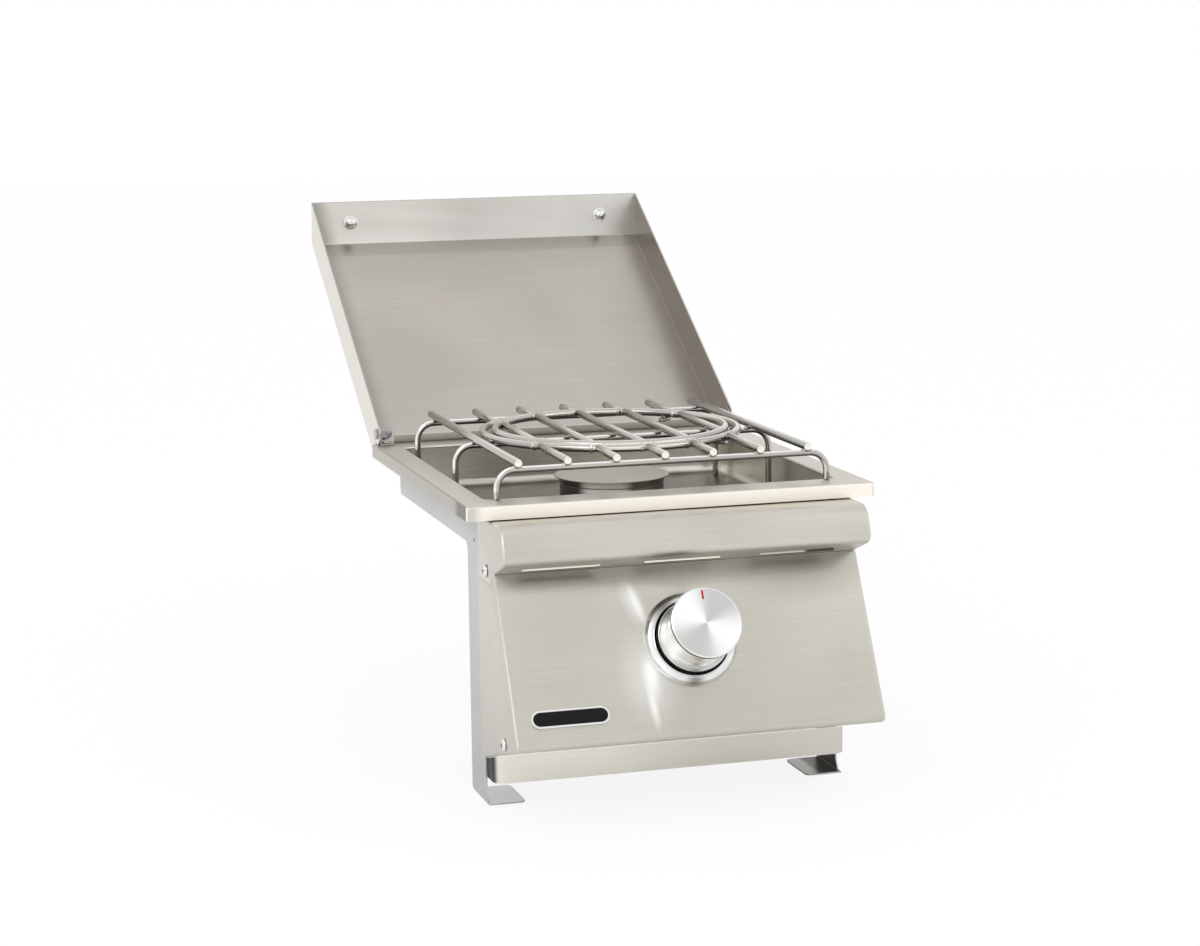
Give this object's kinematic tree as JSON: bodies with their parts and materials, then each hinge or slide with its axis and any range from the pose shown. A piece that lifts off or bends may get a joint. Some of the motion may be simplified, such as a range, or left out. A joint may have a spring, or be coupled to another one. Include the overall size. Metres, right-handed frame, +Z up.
{
  "type": "built-in gas side burner",
  "caption": "Drop-in gas side burner: flat steel rim and pan with a round burner, lift-off rod grate, hinged sheet lid and a leaning control panel with a chrome knob.",
  "frame": {"origin": "centre of the counter cut-out, level with the counter top that the rim rests on", "axes": "+X to the right as seen from the knob's side, +Y to the back, +Z up"},
  "size_m": [0.33, 0.7452, 0.4328],
  "materials": {
    "brushed_steel": "fine horizontal brushed grain",
    "pan_steel": "drawn steel, semi-bright",
    "rod_steel": "bright drawn rod",
    "chrome": "polished",
    "zinc": "zinc plated",
    "cast_aluminium": "cast, matt",
    "brass": "machined",
    "black_plastic": "gloss black",
    "lead_cover": "smooth",
    "ceramic": "fired ceramic",
    "red_paint": "filled line"
  },
  "bodies": {
    "burner_unit": {"top_rim": "brushed_steel", "burner_pan": "pan_steel", "side_plate_left": "brushed_steel", "side_plate_right": "brushed_steel", "header_fascia": "brushed_steel", "control_panel": "brushed_steel", "lower_apron": "brushed_steel", "heat_shield": "zinc", "knob_bezel": "chrome", "badge_border": "chrome", "badge_plate": "black_plastic", "valve_bracket": "zinc", "gas_valve": "cast_aluminium", "jet_tube": "brass", "valve_jet": "brass", "gas_manifold": "zinc", "inlet_fitting": "brass", "venturi_tube": "zinc", "air_shutter": "zinc", "burner_body": "cast_aluminium", "burner_clamp": "zinc", "igniter_bracket": "zinc", "igniter_ceramic": "ceramic", "igniter_wire": "zinc", "piezo_igniter": "black_plastic", "igniter_lead": "lead_cover", "lead_clip": "zinc", "hinge_bracket_left": "zinc", "hinge_bracket_right": "zinc", "hinge_rivet_left": "zinc", "hinge_rivet_right": "zinc", "hinge_bolt_left": "chrome", "hinge_bolt_right": "chrome", "hinge_nut_left": "chrome", "hinge_nut_right": "chrome", "side_screw_left_upper": "chrome", "side_screw_left_lower": "chrome", "side_screw_right_upper": "chrome", "side_screw_right_lower": "chrome"},
    "lid": {"lid_shell": "brushed_steel", "lid_handle": "chrome", "handle_nut_left": "chrome", "handle_nut_right": "chrome"},
    "knob_slider": {"stem_sleeve": "brass"},
    "knob": {"knob_body": "chrome", "knob_shroud": "black_plastic", "knob_pointer": "red_paint", "valve_stem": "zinc"},
    "grate": {"grate_frame": "rod_steel", "grate_rod_left": "rod_steel", "grate_rod_right": "rod_steel", "grate_support_front": "rod_steel", "grate_support_middle": "rod_steel", "grate_support_rear": "rod_steel"},
    "wok_insert": {"wok_ring": "rod_steel"},
    "cap": {"burner_cap": "cast_aluminium"}
  },
  "joints": [
    {"name": "lid_hinge", "type": "hinge", "parent": "burner_unit", "child": "lid", "pos_m": [0, 0.165, 0.0207], "axis": [-1, 0, 0], "range_deg": [-148.06, 0]},
    {"name": "knob_push", "type": "slide", "parent": "burner_unit", "child": "knob_slider", "axis": [0, 0.8813, -0.4726], "range_m": [0, 0.003], "stiffness_N_per_m": 2500, "springref_m": -0.003},
    {"name": "knob_turn", "type": "hinge", "parent": "knob_slider", "child": "knob", "pos_m": [0, -0.2067, -0.09554], "axis": [0, -0.8813, 0.4726], "range_deg": [0, 210]},
    {"name": "grate_lift", "type": "slide", "parent": "burner_unit", "child": "grate", "axis": [0, 0, 1], "range_m": [0, 0.06]},
    {"name": "wok_ring_lift", "type": "slide", "parent": "grate", "child": "wok_insert", "axis": [0, 0, 1], "range_m": [0, 0.04]},
    {"name": "cap_lift", "type": "slide", "parent": "burner_unit", "child": "cap", "axis": [0, 0, 1], "range_m": [0, 0.02]}
  ]
}
